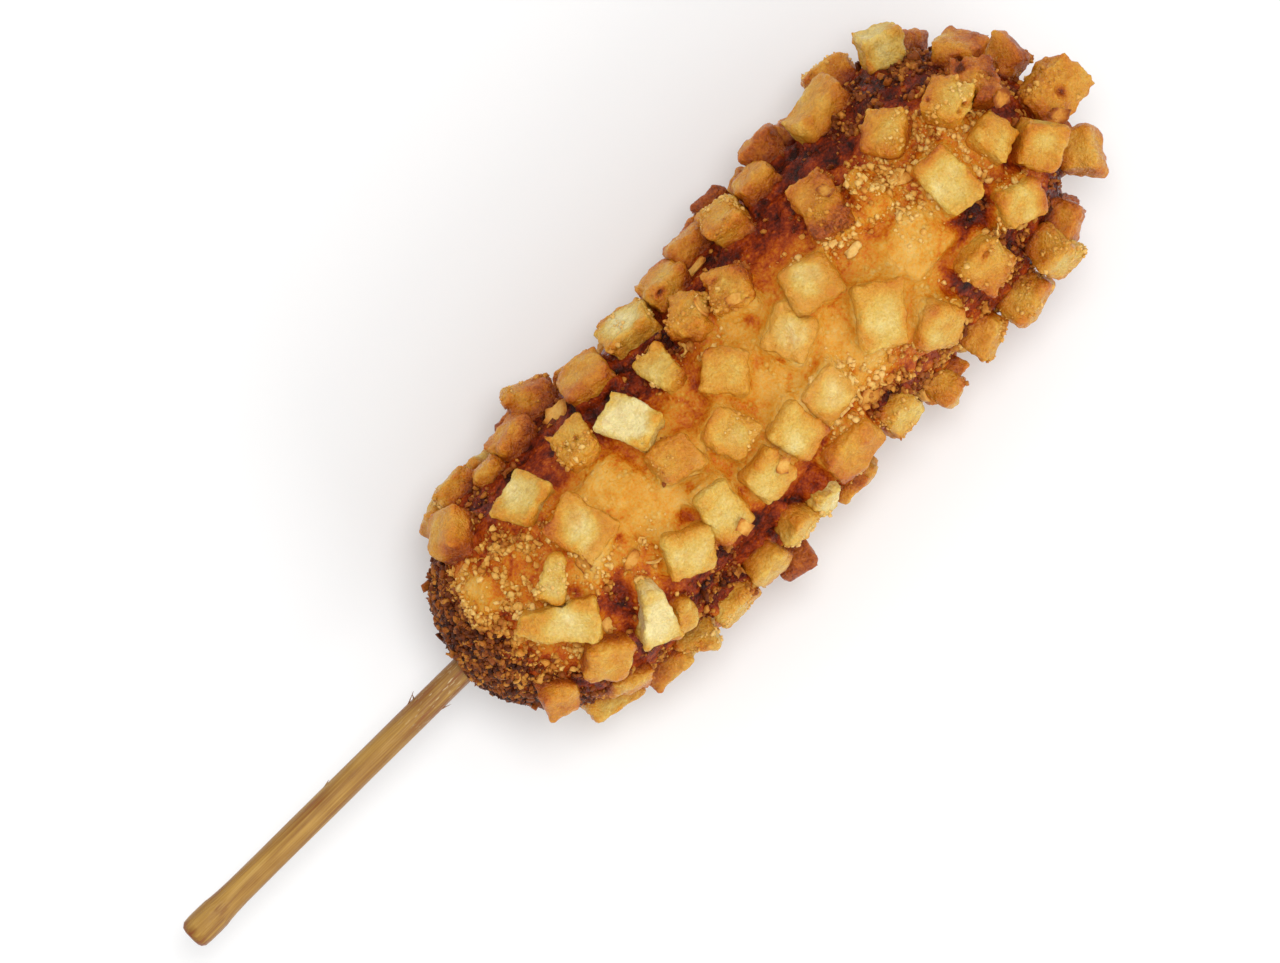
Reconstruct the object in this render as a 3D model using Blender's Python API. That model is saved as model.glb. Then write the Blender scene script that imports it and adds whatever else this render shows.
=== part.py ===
"""Potato corn dog on a bamboo stick, lying on its side.

A thick coat of fried batter, set all over with diced fries, sits on a bamboo stick. The dog lies
along X with the stick towards -X; +Z is up and the origin is on the table, under the middle of
the whole. Stations are distances along X from the butt of the stick. An angle "around" is
measured about the dog's axis from straight up (0 degrees) towards +Y (90 degrees).
"""

import math
import random

import bmesh
import bpy
from mathutils import Matrix, Vector, noise
from mathutils.bvhtree import BVHTree

MM = 0.001

# Driving dimensions.
STICK_RADIUS = 2.5 * MM
STICK_SHOWN = 68.0 * MM         # bare stick between its butt and the batter
STICK_HIDDEN = 92.0 * MM        # how far the stick runs on inside the batter
BATTER_LENGTH = 142.5 * MM
BATTER_RADIUS = 22.8 * MM
DIE_SIDE = 9.0 * MM             # fries are cut into dice about as long as they are thick
FIT_GAP = 0.3 * MM              # between a piece and the socket that it sits in

# The bamboo stick: a joint of the cane swells its butt, whose sawn end is chamfered, and its
# far end inside the dog is pointed.
BUTT_RADIUS = 2.95 * MM
BUTT_LENGTH = 6.5 * MM
BUTT_CHAMFER = 0.9 * MM
BUTT_TAPER = 5.0 * MM
POINT_LENGTH = 10.0 * MM
POINT_RADIUS = 1.25 * MM
STICK_SIDES = 20
STICK_SHARP_ANGLE = 40.0        # degrees between faces above which an edge of it looks sharp

# The coat of batter: a long round loaf with blunt ends, bent a little sideways and lumpy.
STICK_END_CAP = 25.0 * MM       # how much of the length the rounding takes at the stick's end
TIP_CAP = 22.5 * MM
BEND = 4.0 * MM                 # how far the tip's end is bent towards +Y
BEND_FROM = 110.0 * MM          # stations between which it bends
BEND_TO = 205.0 * MM
AXIS_SHIFT = -0.5 * MM          # how far its straight end lies to the side of the stick's line
LUMP_HEIGHT = 0.7 * MM
LUMP_SPACING = 16.0 * MM
BATTER_RINGS = 20
BATTER_SIDES = 24
SLOPE_STEP = 0.2 * MM           # either way along the batter, to measure how it slopes

# A die of fried potato.
DIE_DEPTH = 8.0 * MM            # its size square to the batter's surface
DIE_STAND = 4.6 * MM            # how far an ordinary die stands out of the batter
DIE_BEVEL = 0.7 * MM
PRESSED = 1.0 * MM              # how much of an ordinary die's stand the table presses flat
DIE_SKEW = 0.12                 # how far its faces slant at most, as a share of its sides
DIE_TAPER = 0.12                # how much smaller one end of it is than the other at most
DIE_FOOT = 0.2                  # how much smaller its hidden foot is, as dice crowd inwards

# Dice on the shown side and along both edges, laid by hand: station in mm, angle around and
# turn in degrees, length and width in mm, and how far each stands out compared with an ordinary
# one. Two more values may follow: the share of its width by which the far end narrows into a
# wedge, and the degrees by which its outer end leans towards the dog's tip.
SHOWN_DICE = (
    (77, -50, 70, 7.5, 7.0, 0.9, 0.0, 25),
    (83.5, 55, 38, 9.0, 8.5, 1.0),
    (89.5, 84, 4, 9.0, 7.5, 0.9),
    (96.6, 34, 22, 9.5, 8.5, 0.8),
    (91, 2, 30, 9.0, 6.0, 0.7, 0.5),
    (86.9, -13, 140, 15.5, 9.5, 1.0, 0.6),
    (87.7, -40, 50, 8.5, 8.5, 1.0),
    (99.3, -37.5, 60, 11.5, 8.5, 1.2, 0.55),
    (101, -53, 0, 7.5, 6.5, 0.8),
    (101.8, -87, 0, 8.5, 8.0, 0.9, 0.0, -38),
    (100.2, 8, 12, 9.5, 11.5, 0.6),
    (109.5, 35, -8, 7.5, 8.0, 1.0),
    (109.5, 88, 0, 9.0, 8.0, 1.35, 0.0, 22),
    (119.3, 22, -72, 10.5, 8.0, 1.2),
    (120, 2, -12, 9.0, 8.0, 0.7),
    (119.3, 56, -6, 9.8, 9.5, 1.15),
    (129.6, 31, -92, 8.8, 7.2, 0.9, 0.35),
    (130.5, 60, -8, 11.2, 9.0, 1.05),
    (130.2, -7, -75, 9.5, 8.0, 0.8),
    (137, 10, 42, 8.5, 8.5, 0.8),
    (111, -29, 58, 9.2, 9.5, 1.0),
    (120.2, -27, 88, 10.8, 8.0, 1.1),
    (129.3, -31, 4, 8.6, 8.6, 1.0),
    (110.5, -80, -5, 10.0, 8.0, 0.95),
    (118.8, -70, 4, 8.2, 7.5, 1.1),
    (123.4, -94, 0, 7.5, 7.5, 1.6, 0.0, -20),
    (127.6, -66, 42, 6.8, 6.8, 1.0),
    (134, -66, 60, 6.5, 6.5, 0.95),
    (139.5, 39, 45, 8.5, 7.5, 0.9),
    (147.7, 32, -25, 8.5, 9.0, 0.9),
    (156, 60, -6, 8.2, 9.5, 1.15),
    (157.3, 97, 0, 7.0, 6.5, 1.2),
    (169, 26, 76, 12.5, 7.8, 1.0),
    (158.7, 9, -18, 10.0, 9.5, 0.7),
    (149.5, 1, 20, 9.5, 9.0, 0.7),
    (147.7, -27, 5, 9.6, 9.0, 0.7),
    (139, -28, -75, 10.0, 8.5, 0.9),
    (163, -21.5, 57, 12.6, 9.5, 0.9),
    (169.5, -43, 42, 9.0, 9.0, 1.1),
    (143.5, -54, 4, 12.0, 8.0, 1.1),
    (154.7, -68, 0, 7.5, 6.5, 1.0),
    (163.2, -94, 0, 6.5, 6.5, 1.45, 0.0, 15),
    (174.3, -80, 15, 8.5, 6.5, 1.2, 0.0, 20),
    (181, 66, 12, 12.5, 8.0, 1.1),
    (187.3, 94, 0, 9.5, 7.5, 1.25, 0.0, 12),
    (196.2, 74, 0, 8.5, 8.5, 1.3),
    (186.2, 28, 40, 9.0, 8.3, 0.9),
    (196, 19, 28, 8.2, 8.0, 1.2),
    (187.8, -3, 88, 11.5, 8.0, 1.0),
    (193.3, -32, -22, 8.7, 7.7, 1.2),
    (183, -39.5, 12, 8.8, 8.6, 1.25),
    (193, -69, -70, 10.0, 7.5, 1.5, 0.0, -20),
    (184.5, -84, 10, 10.0, 8.0, 1.4, 0.0, 8),
    (202.3, -26, 35, 9.0, 8.5, 1.3, 0.0, -40),
    (206.3, -72, 0, 8.5, 8.0, 1.6),
    (209, -24, 0, 12.5, 9.5, 1.6, 0.0, -50),
    (202, 21, 60, 10.5, 8.0, 1.0),
    (209.4, 45, 20, 7.5, 7.0, 1.2),
)

# Dice that the batter has run over, fused with it, in the same columns.
SUNKEN_DICE = (
    (79, 22, 80, 8.0, 7.0, 0.35),
    (95.5, 68, 0, 7.0, 6.0, 0.6),
    (87.5, -70, -30, 9.0, 6.0, 0.5),
    (102.5, 71, 12, 9.0, 8.5, 0.9),
    (109.8, 13, 5, 9.0, 8.5, 0.45),
    (111, -8, 30, 10.0, 9.0, 0.35),
    (140.3, 65, 10, 9.0, 9.0, 1.05),
    (148.6, 76, 3, 8.5, 8.0, 0.95),
    (164.6, 66, 0, 8.0, 8.5, 0.95),
    (169.3, 84, -12, 8.0, 8.0, 1.3),
    (176.5, -13, 10, 11.0, 10.0, 0.4),
    (176, 17, 84, 9.5, 8.0, 0.65, 0.75),
    (198, -6, 10, 7.5, 8.0, 0.75),
    (204.5, 50, 40, 9.0, 8.5, 1.0),
    (197.5, -74, 10, 8.0, 8.0, 1.1),
)

# Dice on the hidden side, fused with the batter: staggered rings of them, laid by rule, with
# the ranges of their sizes, stands and leans.
HIDDEN_RING_STEP = 11.3 * MM
HIDDEN_SPACING = 12.2 * MM      # between the middles of two dice in a ring
HIDDEN_LEAST = 2                # dice in the smallest ring
HIDDEN_START = 0.25             # shares of the spacing before the first die of a ring,
HIDDEN_STAGGER = 0.5            # and more before that of every other ring
HIDDEN_FROM = 91.0              # angles around, in degrees, between which the rings run
HIDDEN_TO = 269.0
HIDDEN_FIRST = 84.0 * MM
HIDDEN_LAST = 208.0 * MM
HIDDEN_LENGTHS = (0.85, 1.2)    # as shares of DIE_SIDE
HIDDEN_WIDTHS = (0.8, 1.05)
HIDDEN_STANDS = (0.7, 1.05)
HIDDEN_WEDGES = (0.0, 0.0, 0.3)
HIDDEN_LEAN = 0.25              # radians either way
HIDDEN_STRAY = 1.6 * MM         # how far each strays from its place in the ring, either way
HIDDEN_SEED = 12
FUSED_SEED = 1000               # added to a fused die's number

# Colour and roughness of each material.
CRUST_FINISH = ((0.42, 0.17, 0.05), 0.6)
POTATO_FINISH = ((0.78, 0.50, 0.16), 0.5)
BAMBOO_FINISH = ((0.56, 0.36, 0.13), 0.45)


def smoothstep(low, high, value):
    share = min(1.0, max(0.0, (value - low) / (high - low)))
    return share * share * (3.0 - 2.0 * share)


def batter_radius(station):
    """The batter's radius at a station: full along its middle, rounded off at both ends."""
    from_stick_end = station - STICK_SHOWN
    from_tip = BATTER_LENGTH - from_stick_end
    share = 1.0
    if from_stick_end < STICK_END_CAP:
        share = 1.0 - (1.0 - from_stick_end / STICK_END_CAP) ** 2
    elif from_tip < TIP_CAP:
        share = 1.0 - (1.0 - from_tip / TIP_CAP) ** 2
    return BATTER_RADIUS * math.sqrt(max(0.0, share))


def axis_offset(station):
    """How far the batter's axis lies towards +Y at a station."""
    return AXIS_SHIFT + BEND * smoothstep(BEND_FROM, BEND_TO, station)


def surface(station, around):
    """The point on the smooth batter at a station and an angle in radians, and its normal."""
    radius = batter_radius(station)
    outward = Vector((0.0, math.sin(around), math.cos(around)))
    point = Vector((station, axis_offset(station), 0.0)) + outward * radius
    rise = batter_radius(station + SLOPE_STEP) - batter_radius(station - SLOPE_STEP)
    slope = rise / (2.0 * SLOPE_STEP)
    normal = (outward - Vector((slope, 0.0, 0.0))).normalized()
    return point, normal


def new_object(name, mesh_builder, material, collection=None):
    mesh = bpy.data.meshes.new(name)
    mesh_builder.to_mesh(mesh)
    mesh_builder.free()
    mesh.materials.append(material)
    obj = bpy.data.objects.new(name, mesh)
    (collection or bpy.context.scene.collection).objects.link(obj)
    return obj


def new_helper(name, mesh_builder, material, collection=None):
    """An object that only shapes others: a cutter, or a lump to be joined on."""
    helper = new_object(name, mesh_builder, material, collection)
    helper.hide_render = True
    helper.display_type = "WIRE"
    return helper


def new_collection(name):
    collection = bpy.data.collections.new(name)
    bpy.context.scene.collection.children.link(collection)
    return collection


def new_material(name, colour, roughness):
    material = bpy.data.materials.new(name)
    material.use_nodes = True
    shader = material.node_tree.nodes["Principled BSDF"]
    shader.inputs["Base Color"].default_value = (*colour, 1.0)
    shader.inputs["Roughness"].default_value = roughness
    return material


def add_boolean(target, other, operation):
    """Joins to the target, or cuts from it, an object or every object of a collection at once."""
    modifier = target.modifiers.new(other.name, "BOOLEAN")
    modifier.operation = operation
    modifier.solver = "EXACT"
    if isinstance(other, bpy.types.Collection):
        modifier.operand_type = "COLLECTION"
        modifier.collection = other
    else:
        modifier.object = other


def turned_solid(profile, sides):
    """A closed solid of (station, radius) pairs turned about the stick's line."""
    builder = bmesh.new()
    rings = []
    for station, radius in profile:
        ring = []
        for side in range(sides):
            angle = 2.0 * math.pi * side / sides
            place = (station, radius * math.cos(angle), radius * math.sin(angle))
            ring.append(builder.verts.new(place))
        rings.append(ring)
    for low, high in zip(rings, rings[1:]):
        for side in range(sides):
            after = (side + 1) % sides
            builder.faces.new((low[side], high[side], high[after], low[after]))
    builder.faces.new(rings[0])
    builder.faces.new(tuple(reversed(rings[-1])))
    bmesh.ops.recalc_face_normals(builder, faces=builder.faces)
    return builder


def stick_profile(extra=0.0):
    """The stick from its butt to its hidden end, grown by extra all round."""
    end = STICK_SHOWN + STICK_HIDDEN
    return (
        (-extra, BUTT_RADIUS - BUTT_CHAMFER + extra),
        (BUTT_CHAMFER, BUTT_RADIUS + extra),
        (BUTT_LENGTH, BUTT_RADIUS + extra),
        (BUTT_LENGTH + BUTT_TAPER, STICK_RADIUS + extra),
        (end - POINT_LENGTH, STICK_RADIUS + extra),
        (end + extra, POINT_RADIUS + extra),
    )


def loaf():
    """The coat of batter alone: a sphere drawn out along X to the profile, then made lumpy."""
    builder = bmesh.new()
    bmesh.ops.create_uvsphere(
        builder, u_segments=BATTER_SIDES, v_segments=BATTER_RINGS, radius=1.0
    )
    for vertex in builder.verts:
        along, side, up = vertex.co.z, vertex.co.x, vertex.co.y
        station = STICK_SHOWN + BATTER_LENGTH * (0.5 + 0.5 * along)
        around = math.atan2(side, up)
        point, normal = surface(station, around)
        lump = noise.noise(point / LUMP_SPACING) * LUMP_HEIGHT
        vertex.co = point + normal * lump
    bmesh.ops.recalc_face_normals(builder, faces=builder.faces)
    return builder


def uneven(share, skews, tapers):
    """Slants and tapers a point of a cube of side 1 as a whole, so that flat faces stay flat."""
    x, y, z = share
    slanted = Vector((x + skews[0] * z, y + skews[1] * x, z + skews[2] * y))
    return slanted / (1.0 + DIE_FOOT * (0.5 - z) + tapers[0] * x + tapers[1] * y)


def die(spot, rng, extra=0.0, bevelled=True):
    """A die at a spot, as in_metres gives it, grown by extra all round."""
    station, around, turn, length, width, stand, wedge, lean = spot
    skews = [rng.uniform(-DIE_SKEW, DIE_SKEW) for _ in range(3)]
    tapers = [rng.uniform(-DIE_TAPER, DIE_TAPER) for _ in range(2)]
    builder = bmesh.new()
    bmesh.ops.create_cube(builder, size=1.0)
    for vertex in builder.verts:
        share = vertex.co.copy()
        for side, size in enumerate((length, width, DIE_DEPTH)):
            share[side] *= 1.0 + 2.0 * extra / size
        share.y *= 1.0 - wedge * (0.5 + share.x)
        share = uneven(share, skews, tapers)
        vertex.co = (share.x * length, share.y * width, share.z * DIE_DEPTH)
    if bevelled:
        bmesh.ops.bevel(
            builder, geom=builder.edges[:], offset=DIE_BEVEL, segments=1, affect="EDGES"
        )
    point, normal = surface(station, around)
    along = (Vector((1.0, 0.0, 0.0)) - normal * normal.x).normalized()
    across = normal.cross(along)
    frame = Matrix((along, across, normal)).transposed().to_4x4()
    middle = point + normal * (stand * DIE_STAND - 0.5 * DIE_DEPTH)
    turned = Matrix.Rotation(lean, 4, "Y") @ Matrix.Rotation(turn, 4, "Z")
    place = Matrix.Translation(middle) @ frame @ turned
    bmesh.ops.transform(builder, matrix=place, verts=builder.verts)
    return builder


def in_metres(row):
    """A row of the tables above in metres and radians, with the values that it leaves out."""
    station, around, turn, length, width, stand, *more = row
    wedge, lean = [*more, 0.0, 0.0][:2]
    return (
        station * MM,
        math.radians(around),
        math.radians(turn),
        length * MM,
        width * MM,
        stand,
        wedge,
        math.radians(lean),
    )


def hidden_spots():
    """Staggered rings of dice round the hidden side, each a little out of place and size."""
    rng = random.Random(HIDDEN_SEED)
    start = math.radians(HIDDEN_FROM)
    arc = math.radians(HIDDEN_TO - HIDDEN_FROM)
    rings = round((HIDDEN_LAST - HIDDEN_FIRST) / HIDDEN_RING_STEP)
    spots = []
    for ring in range(rings + 1):
        station = HIDDEN_FIRST + ring * HIDDEN_RING_STEP
        outer_radius = batter_radius(station) + DIE_STAND
        count = max(HIDDEN_LEAST, round(arc * outer_radius / HIDDEN_SPACING))
        stray_angle = HIDDEN_STRAY / outer_radius
        for slot in range(count):
            share = (slot + HIDDEN_START + HIDDEN_STAGGER * (ring % 2)) / count
            spots.append(
                (
                    station + rng.uniform(-HIDDEN_STRAY, HIDDEN_STRAY),
                    start + arc * share + rng.uniform(-stray_angle, stray_angle),
                    rng.uniform(0.0, math.pi),
                    DIE_SIDE * rng.uniform(*HIDDEN_LENGTHS),
                    DIE_SIDE * rng.uniform(*HIDDEN_WIDTHS),
                    rng.uniform(*HIDDEN_STANDS),
                    rng.choice(HIDDEN_WEDGES),
                    rng.uniform(-HIDDEN_LEAN, HIDDEN_LEAN),
                )
            )
    return spots


def meet(first, second):
    """Whether the surfaces of two objects cross."""
    trees = []
    for obj in (first, second):
        points = [vertex.co for vertex in obj.data.vertices]
        faces = [tuple(face.vertices) for face in obj.data.polygons]
        trees.append(BVHTree.FromPolygons(points, faces))
    return bool(trees[0].overlap(trees[1]))


def build_shown_dice(potato, cutters):
    """The dice of the shown side, each with a socket among the cutters that gives it room."""
    dice = []
    sockets = []
    for number, row in enumerate(SHOWN_DICE, start=1):
        spot = in_metres(row)
        shape = die(spot, random.Random(number))
        dice.append(new_object(f"potato_die_{number:02d}", shape, potato))
        room = die(spot, random.Random(number), extra=FIT_GAP, bevelled=False)
        sockets.append(new_helper(f"socket_{number:02d}", room, potato, cutters))
    for later in range(len(dice)):
        for earlier in range(later):
            if meet(dice[later], sockets[earlier]):
                add_boolean(dice[later], sockets[earlier], "DIFFERENCE")
    return dice


def build_batter(crust, cutters):
    """The coat of batter with its fused dice, less all that the cutters take."""
    batter = new_object("batter", loaf(), crust)
    fused = new_collection("fused dice")
    spots = [in_metres(row) for row in SUNKEN_DICE] + hidden_spots()
    for number, spot in enumerate(spots, start=1):
        shape = die(spot, random.Random(FUSED_SEED + number), bevelled=False)
        new_helper(f"fused_die_{number:02d}", shape, crust, fused)
    add_boolean(batter, fused, "UNION")
    add_boolean(batter, cutters, "DIFFERENCE")
    return batter


def table_top(floor):
    """A block under the floor, which presses the dice that the dog lies on flat."""
    builder = bmesh.new()
    bmesh.ops.create_cube(builder, size=1.0)
    size = Vector((2.0 * BATTER_LENGTH, 4.0 * BATTER_RADIUS, BATTER_RADIUS))
    middle = Vector((STICK_SHOWN + 0.5 * BATTER_LENGTH, 0.0, floor - 0.5 * size.z))
    bmesh.ops.scale(builder, vec=size, verts=builder.verts)
    bmesh.ops.translate(builder, vec=middle, verts=builder.verts)
    return builder


def settle(pieces, floor):
    """Puts the whole over the origin: the middle of its outline at X = Y = 0, its floor at Z = 0."""
    corners = []
    for piece in pieces:
        corners += [piece.matrix_world @ vertex.co for vertex in piece.data.vertices]
    low_x, high_x = min(c.x for c in corners), max(c.x for c in corners)
    low_y, high_y = min(c.y for c in corners), max(c.y for c in corners)
    shift = Vector((-(low_x + high_x) / 2.0, -(low_y + high_y) / 2.0, -floor))
    for obj in bpy.context.scene.objects:
        obj.location += shift


def main():
    for obj in list(bpy.data.objects):
        bpy.data.objects.remove(obj)
    crust = new_material("fried batter", *CRUST_FINISH)
    potato = new_material("fried potato", *POTATO_FINISH)
    bamboo = new_material("bamboo", *BAMBOO_FINISH)

    stick = new_object("stick", turned_solid(stick_profile(), STICK_SIDES), bamboo)
    stick.data.shade_smooth()
    stick.data.set_sharp_from_angle(angle=math.radians(STICK_SHARP_ANGLE))

    cutters = new_collection("cutters")
    floor = PRESSED - BATTER_RADIUS - DIE_STAND
    new_helper("table_top", table_top(floor), crust, cutters)
    bore = turned_solid(stick_profile(FIT_GAP), STICK_SIDES)
    new_helper("stick_bore", bore, crust, cutters)
    dice = build_shown_dice(potato, cutters)
    batter = build_batter(crust, cutters)
    settle([stick, batter, *dice], floor)


main()
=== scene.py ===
import math
import random

import bmesh
import bpy
import numpy as np
from mathutils import Matrix, Vector, noise


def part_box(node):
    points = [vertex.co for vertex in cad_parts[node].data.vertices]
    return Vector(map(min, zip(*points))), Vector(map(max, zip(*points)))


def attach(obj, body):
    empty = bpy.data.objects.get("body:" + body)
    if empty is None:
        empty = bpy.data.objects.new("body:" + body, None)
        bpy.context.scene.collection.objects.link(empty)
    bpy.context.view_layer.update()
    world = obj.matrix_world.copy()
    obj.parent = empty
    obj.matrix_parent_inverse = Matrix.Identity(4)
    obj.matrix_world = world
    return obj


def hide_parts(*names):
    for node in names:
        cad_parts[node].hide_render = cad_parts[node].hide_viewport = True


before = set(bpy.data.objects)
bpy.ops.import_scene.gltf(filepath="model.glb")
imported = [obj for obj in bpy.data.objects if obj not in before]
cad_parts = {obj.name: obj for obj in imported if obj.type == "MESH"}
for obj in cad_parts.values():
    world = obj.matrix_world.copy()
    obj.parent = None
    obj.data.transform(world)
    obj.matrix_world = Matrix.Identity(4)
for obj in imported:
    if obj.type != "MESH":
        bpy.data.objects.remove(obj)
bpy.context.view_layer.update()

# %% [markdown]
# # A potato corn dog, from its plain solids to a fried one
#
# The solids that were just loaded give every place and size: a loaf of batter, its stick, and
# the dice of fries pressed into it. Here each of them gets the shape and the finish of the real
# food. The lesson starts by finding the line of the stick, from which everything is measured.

MM = 0.001
stick_low, stick_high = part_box("stick")
BUTT_X = stick_low.x
AXIS_Y = (stick_low.y + stick_high.y) / 2.0
AXIS_Z = (stick_low.z + stick_high.z) / 2.0
print("the stick's line, in mm:", [round(v / MM, 2) for v in (BUTT_X, AXIS_Y, AXIS_Z)])

# %% [markdown]
# Blender's operators act on whatever is selected, and the loaded solids are all selected. So the
# first helpers put one piece alone into the selection, open and close edit mode around a step,
# and apply a modifier at once, as one does by hand with Ctrl A.

# %% Helpers for working by hand
def pick(*pieces):
    """Selects these pieces and nothing else; the last one is active."""
    bpy.ops.object.select_all(action="DESELECT")
    for piece in pieces:
        piece.select_set(True)
    bpy.context.view_layer.objects.active = pieces[-1]
    return pieces[-1]


def edit(piece, select="SELECT"):
    """Opens a piece in edit mode with all or none of it selected."""
    pick(piece)
    bpy.ops.object.mode_set(mode="EDIT")
    bpy.ops.mesh.select_mode(type="FACE")
    bpy.ops.mesh.select_all(action=select)
    return bmesh.from_edit_mesh(piece.data)


def leave_edit():
    bpy.ops.object.mode_set(mode="OBJECT")


def apply_modifier(piece, kind, **settings):
    pick(piece)
    modifier = piece.modifiers.new(kind.title(), kind)
    for name, value in settings.items():
        setattr(modifier, name, value)
    bpy.ops.object.modifier_apply(modifier=modifier.name)


def copy_of_node(node, name):
    """A copy of a solid under a new name, its loose triangles joined into whole flat faces."""
    piece = bpy.data.objects.new(name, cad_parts[node].data.copy())
    bpy.context.scene.collection.objects.link(piece)
    piece.data.materials.clear()
    edit(piece)
    bpy.ops.mesh.remove_doubles(threshold=0.01 * MM)
    bpy.ops.mesh.dissolve_limited(angle_limit=math.radians(0.5))
    leave_edit()
    return piece


def points_of(piece):
    points = np.zeros(len(piece.data.vertices) * 3)
    piece.data.vertices.foreach_get("co", points)
    return points.reshape(-1, 3)


def set_points(piece, points):
    piece.data.vertices.foreach_set("co", np.ascontiguousarray(points).ravel())
    piece.data.update()


def normals_of(piece):
    normals = np.zeros(len(piece.data.vertices) * 3)
    piece.data.vertex_normals.foreach_get("vector", normals)
    return normals.reshape(-1, 3)


def set_values(piece, name, values):
    """Writes one number per point of a piece, for its material to read."""
    attribute = piece.data.attributes.new(name, "FLOAT", "POINT")
    attribute.data.foreach_set("value", np.clip(values, 0.0, 1.0).astype(np.float32))

# %% [markdown]
# Fried food has no flat colour, but many small differences that follow its shape. A raised edge
# browns first, and a hollow is coloured darker. The next helpers measure that: how far a
# point stands out of its own neighbourhood once the neighbourhood is smoothed, and a soft random
# pattern in space. Both are kept as numbers on the points.

# %% Helpers that measure a surface
def smoothstep(low, high, values):
    share = np.clip((np.asarray(values, float) - low) / (high - low), 0.0, 1.0)
    return share * share * (3.0 - 2.0 * share)


def standing_out(piece, rounds):
    """How far each point stands out of its smoothed neighbourhood, in metres."""
    points = points_of(piece)
    edges = np.zeros(len(piece.data.edges) * 2, int)
    piece.data.edges.foreach_get("vertices", edges)
    first, second = edges.reshape(-1, 2).T
    count = np.bincount(first, minlength=len(points)) + np.bincount(second, minlength=len(points))
    calm = points.copy()
    for _ in range(rounds):
        total = np.zeros_like(calm)
        for axis in range(3):
            total[:, axis] += np.bincount(first, calm[second, axis], len(points))
            total[:, axis] += np.bincount(second, calm[first, axis], len(points))
        calm = total / np.maximum(count, 1)[:, None]
    return ((points - calm) * normals_of(piece)).sum(axis=1)


def cloud(points, size, seed=0.0):
    """A soft random pattern between about -1 and 1, with patches of the given size."""
    shift = Vector((seed * 7.3, seed * 3.1, seed * 5.7))
    return np.array([noise.noise(Vector(p) / size + shift) for p in points])

# %% [markdown]
# The loaf of batter follows one rule: full along its middle, rounded off at both ends and bent
# a little sideways towards its tip. It is the rule that its solid was made by, so dice and
# crumbs that are set on it here sit where they do there. Stations are counted in millimetres
# from the butt of the stick; the angle around is zero on top and grows towards +Y.

# %% The line and the radius of the batter
STICK_SHOWN, BATTER_LENGTH, BATTER_RADIUS = 68.0, 142.5, 22.8
STICK_END_CAP, TIP_CAP = 25.0, 22.5
AXIS_SHIFT, BEND, BEND_FROM, BEND_TO = -0.5, 4.0, 110.0, 205.0
DIE_SIDE, DIE_DEPTH, DIE_STAND = 9.0, 8.0, 4.6


def batter_radius(station):
    """The batter's radius in mm at stations in mm."""
    from_end = np.asarray(station, float) - STICK_SHOWN
    from_tip = BATTER_LENGTH - from_end
    share = np.minimum(1.0 - np.clip(1.0 - from_end / STICK_END_CAP, 0.0, 1.0) ** 2,
                       1.0 - np.clip(1.0 - from_tip / TIP_CAP, 0.0, 1.0) ** 2)
    return BATTER_RADIUS * np.sqrt(np.clip(share, 0.0, 1.0))


def axis_offset(station):
    return AXIS_SHIFT + BEND * smoothstep(BEND_FROM, BEND_TO, station)


def surface(station, around):
    """The point on the batter at a station and an angle in radians, in metres, and its normal."""
    outward = Vector((0.0, math.sin(around), math.cos(around)))
    centre = Vector((station, float(axis_offset(station)), 0.0))
    slope = float(batter_radius(station + 0.2) - batter_radius(station - 0.2)) / 0.4
    point = centre + outward * float(batter_radius(station))
    return (Vector((BUTT_X, AXIS_Y, AXIS_Z)) + point * MM,
            (outward - Vector((slope, 0.0, 0.0))).normalized())


def places(points):
    """Stations, offsets to +Y, angles around in degrees and heights over the batter, in mm."""
    station = (points[:, 0] - BUTT_X) / MM
    side = (points[:, 1] - AXIS_Y) / MM
    up = (points[:, 2] - AXIS_Z) / MM
    across = side - axis_offset(station)
    around = np.degrees(np.arctan2(across, up))
    return station, side, around, np.hypot(across, up) - batter_radius(station)


print("radius of the batter halfway along, in mm:", float(batter_radius(139.0)))

# %% [markdown]
# ## Finishes
#
# A finish is a few nodes: numbers from the points say how brown a place is, noise in space
# breaks that up at the size of real specks, and a colour ramp turns the result into the colours
# that oil and heat give. The ramps are written in the 0 to 255 values of a colour picker, so a
# helper turns those into the linear values that the shader wants.

# %% Helpers for finishes
def colour(red, green, blue):
    """A colour of a colour picker, 0 to 255, as the shader's linear values."""
    shares = [value / 255.0 for value in (red, green, blue)]
    return [s / 12.92 if s <= 0.04045 else ((s + 0.055) / 1.055) ** 2.4 for s in shares] + [1.0]


def new_finish(name):
    finish = bpy.data.materials.new(name)
    finish.use_nodes = True
    return finish, finish.node_tree.nodes["Principled BSDF"]


def add_node(finish, kind, **settings):
    """A new node of a finish; a setting is one of its inputs or else one of its own values."""
    node = finish.node_tree.nodes.new("ShaderNode" + kind)
    for name, value in settings.items():
        if name in node.inputs:
            node.inputs[name].default_value = value
        else:
            setattr(node, name, value)
    return node


def join(finish, output, socket):
    finish.node_tree.links.new(output, socket)
    return socket.node


def point_values(finish, name):
    return add_node(finish, "Attribute", attribute_name=name).outputs["Fac"]


def grain(finish, size, detail=2.0, roughness=0.5):
    """Noise in space with specks of about a size in mm, as a number about 0.5."""
    here = add_node(finish, "TexCoord").outputs["Object"]
    texture = add_node(finish, "TexNoise", Scale=1.0 / (size * MM), Detail=detail,
                       Roughness=roughness)
    join(finish, here, texture.inputs["Vector"])
    return texture.outputs["Fac"]


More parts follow.
